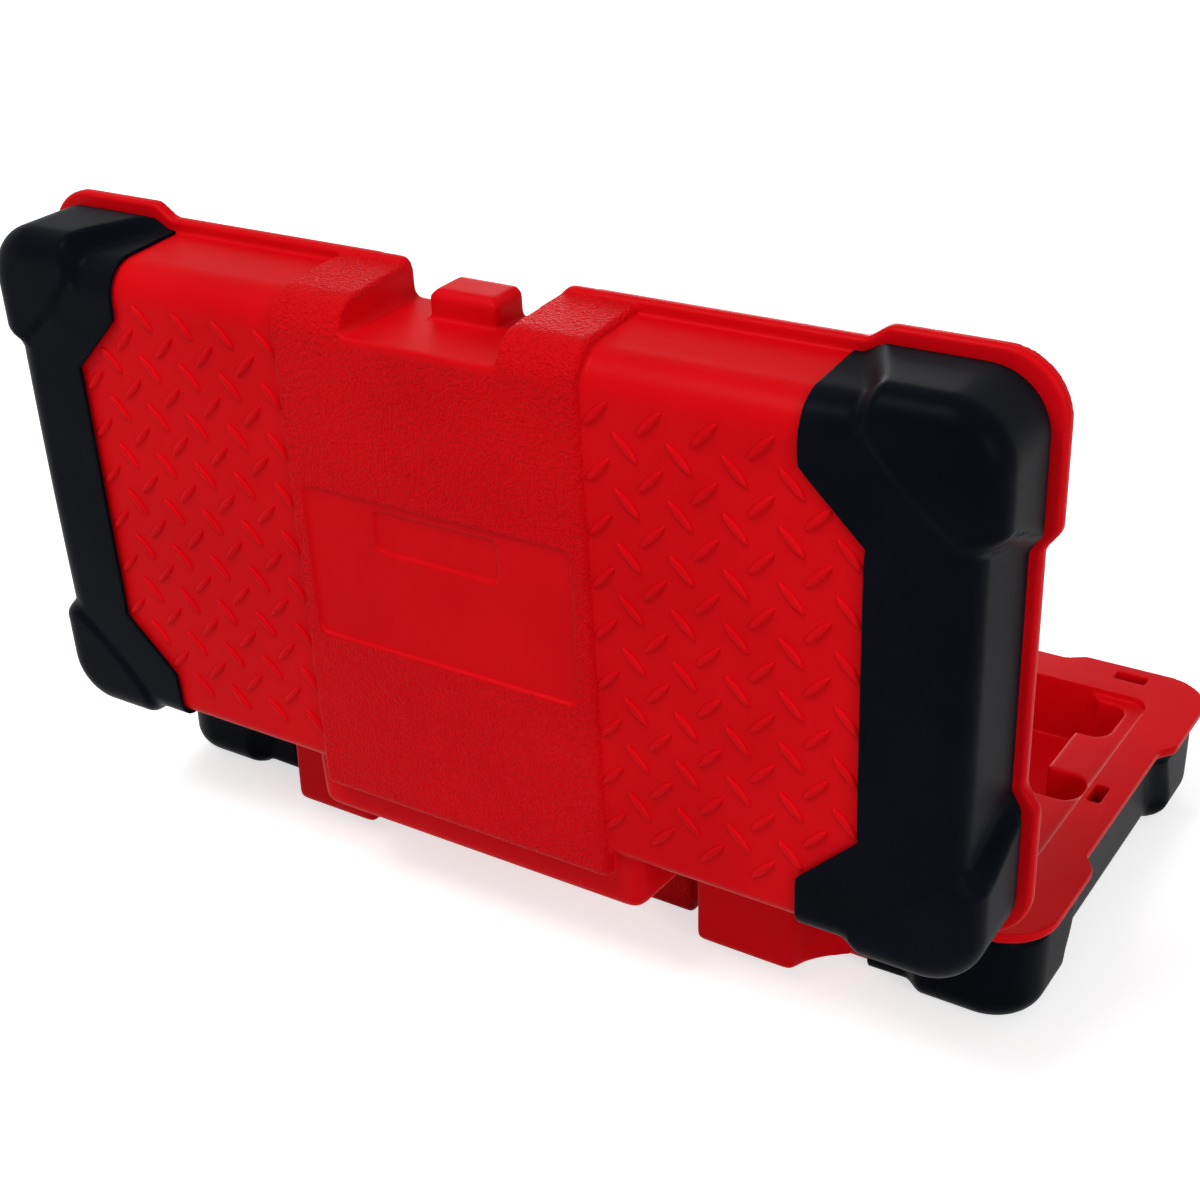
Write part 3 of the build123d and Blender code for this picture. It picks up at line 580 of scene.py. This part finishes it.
def closedSkin(sheet):
    # gives an open sheet its wall: an inner sheet one skin below, joined to the outer one by a
    # rounded rim (a squared half circle) along both long edges, with rounded ends
    g = guard
    normal = unit(np.cross(np.gradient(sheet, axis=0), np.gradient(sheet, axis=1)))
    if normal[len(sheet) // 2, 2, 0] < 0:  # the wall at the middle of the end faces outwards
        normal = -normal
    core = sheet - normal * g["skin"] / 2
    phi = np.linspace(0, math.pi, g["rimRows"])[1:-1]
    lift = np.sign(np.cos(phi)) * np.abs(np.cos(phi)) ** g["edgePower"]
    push = np.sin(phi) ** g["edgePower"]
    edges = []
    for last, before in ((-1, -2), (0, 1)):
        past = unit(sheet[:, last] - sheet[:, before])[:, None]
        edges.append(core[:, last, None] + normal[:, last, None] * lift[:, None] * g["skin"] / 2
                     + past * push[:, None] * g["edge"])
    loop = np.concatenate([sheet, edges[0], (2 * core - sheet)[:, ::-1], edges[1][:, ::-1]], 1)
    middle = np.concatenate([core, np.repeat(core[:, -1:], len(phi), 1), core[:, ::-1],
                             np.repeat(core[:, :1], len(phi), 1)], 1)
    ends = []
    for last, before in ((0, 1), (-1, -2)):
        past = unit(loop[last] - loop[before])[None]
        bend = np.linspace(0, math.pi / 2, g["endRows"])[1:, None, None]
        ends.append(middle[last]
                    + (loop[last] - middle[last]) * np.cos(bend) ** g["edgePower"]
                    + past * np.sin(bend) ** g["edgePower"] * g["edge"])
    return np.concatenate([ends[0][::-1], loop, ends[1]], 0)


def makeGuard(name, side, toRow, body, node):
    # from the front to the middle of the end, then on to the rear, whose edge is sharper
    front = np.stack(guardSurface(half["frontRound"]), -1) * [1, -1, 1]
    rear = np.stack(guardSurface(half["rearRound"]), -1)
    skin = closedSkin(np.concatenate([front, rear[-2::-1]], 0))
    points = skin * [side, 1, 1] + [0, half["centreY"], 0]
    faces = gridFaces(*skin.shape[:2], closeColumns=True)
    piece = meshObject(name, toRow(points).reshape(-1, 3) * mm, faces, blackGuard, body,
                       [node])
    outward(piece)
    weighted(piece)


for toRow, body in ((baseFromHalf, "base"), (lidFromHalf, "lid")):
    for side, end in ((1, "right"), (-1, "left")):
        node = f"{body}_guard_{end}"
        makeGuard(node + "_cover", side, toRow, body, node)
print("guards made")


# latch, handle and pins
small = {"voxel": 0.45, "most": 60000, "even": 4.0, "toHalf": halfFromBase,
         "fromHalf": baseFromHalf, "passes": lambda p: np.full(len(p), small["even"])}
mouldedCopy("latch", "latch_flap", small, [blackNylon], "latch")
mouldedCopy("carry_handle", "bail_handle", small, [blackNylon], "handle")
for node in ("hinge_pin_left", "hinge_pin_right", "latch_pin", "handle_pin_left",
             "handle_pin_right"):
    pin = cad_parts[node]
    pin.data.materials.clear()
    pin.data.materials.append(zincWire)
print("latch, handle and pins finished")


# floor, light and camera
studio = {
    "floor": "#DCDCDC", "floorWide": 14.0, "floorUnder": 0.0002,  # metres, as all places here
    "liftFar": (0.35, 1.5), "lift": (0.64, 0.95),  # the floor whitens between these distances
    "sky": "#FFFFFF", "world": 0.40,
    "lamps": (
        {"name": "keySoftbox", "place": (0.3, 0.85, 1.5), "aim": (0, 0.05, 0.1),
         "size": 0.6, "power": 14.6},
        {"name": "sideSoftbox", "place": (-1.35, 0.85, 0.65), "aim": (0, 0.05, 0.1),
         "size": 0.6, "power": 7.5},
        {"name": "backSoftbox", "place": (0.72, -1.4, 0.42), "aim": (0, 0, 0.1),
         "size": 0.6, "power": 9.0}),
}


def seenStraight(tree):
    # 1 for a ray from the camera, or one that a glossy or a clear surface sends on, else 0
    seen = addNode(tree, "LightPath")
    shown = addNode(tree, "Math", [(seen.outputs["Is Camera Ray"], 0),
                                   (seen.outputs["Is Glossy Ray"], 1)], operation="MAXIMUM")
    shown = addNode(tree, "Math", [(shown.outputs[0], 0),
                                   (seen.outputs["Is Transmission Ray"], 1)],
                    operation="MAXIMUM")
    return shown.outputs[0]


floorMesh = bpy.data.meshes.new("floor")
wide = studio["floorWide"] / 2
floorMesh.from_pydata([(-wide, -wide, 0), (wide, -wide, 0), (wide, wide, 0), (-wide, wide, 0)],
                      [], [(0, 1, 2, 3)])
floor = bpy.data.objects.new("floor", floorMesh)
bpy.context.scene.collection.objects.link(floor)
floor.location = (0, 0, -studio["floorUnder"])
paper, tree, place = newMaterial("whitePaperSweep")
away = addNode(tree, "VectorMath", [(place, 0)], operation="LENGTH")
rise = addNode(tree, "MapRange", [(away.outputs["Value"], "Value")],
               From_Min=studio["liftFar"][0], From_Max=studio["liftFar"][1],
               To_Min=studio["lift"][0], To_Max=studio["lift"][1])
lift = addNode(tree, "Math", [(seenStraight(tree), 0), (rise.outputs["Result"], 1)],
               operation="MULTIPLY")
matt = addNode(tree, "BsdfDiffuse", Color=linear(studio["floor"]))
glow = addNode(tree, "Emission", [(lift.outputs[0], "Strength")])
both = addNode(tree, "AddShader", [(matt.outputs[0], 0), (glow.outputs[0], 1)])
addNode(tree, "OutputMaterial", [(both.outputs[0], "Surface")])
floorMesh.materials.append(paper)

world = bpy.data.worlds.new("studio")
bpy.context.scene.world = world
world.use_nodes = True
tree = world.node_tree
tree.nodes.clear()
strength = addNode(tree, "MapRange", [(seenStraight(tree), "Value")],
                   To_Min=studio["world"], To_Max=1.0)
sky = addNode(tree, "Background", [(strength.outputs["Result"], "Strength")],
              Color=linear(studio["sky"]))
addNode(tree, "OutputWorld", [(sky.outputs[0], "Surface")])

for spec in studio["lamps"]:
    light = bpy.data.lights.new(spec["name"], "AREA")
    light.shape, light.size, light.energy = "SQUARE", spec["size"], spec["power"]
    lamp = bpy.data.objects.new(spec["name"], light)
    lamp.location = spec["place"]
    back = Vector(spec["place"]) - Vector(spec["aim"])
    lamp.rotation_mode, lamp.rotation_quaternion = "QUATERNION", back.to_track_quat("Z", "Y")
    bpy.context.scene.collection.objects.link(lamp)

# where the photograph was taken from: metres, radians, and a lens on a 36 mm sensor
camera = {"place": (-0.3552, 0.6117, 0.4312), "yaw": 0.5709, "pitch": 0.4622, "roll": -0.0201,
          "lens": 56.72, "sensor": 36.0, "clip": 0.01}
yaw, pitch, roll = camera["yaw"], camera["pitch"], camera["roll"]
forward = Vector((math.sin(yaw) * math.cos(pitch), -math.cos(yaw) * math.cos(pitch),
                  -math.sin(pitch)))
right = Vector((-math.cos(yaw), -math.sin(yaw), 0))
up = right.cross(forward)
rightRolled = right * math.cos(roll) + up * math.sin(roll)
upRolled = up * math.cos(roll) - right * math.sin(roll)
lens = bpy.data.cameras.new("photoCamera")
lens.lens, lens.sensor_width = camera["lens"], camera["sensor"]
lens.clip_start = camera["clip"]
viewer = bpy.data.objects.new("photoCamera", lens)
viewer.matrix_world = Matrix.Translation(camera["place"]) @ Matrix(
    (rightRolled, upRolled, -forward)).transposed().to_4x4()
bpy.context.scene.collection.objects.link(viewer)
bpy.context.scene.camera = viewer
bpy.context.scene.view_settings.view_transform = "Standard"

print("scene ready")
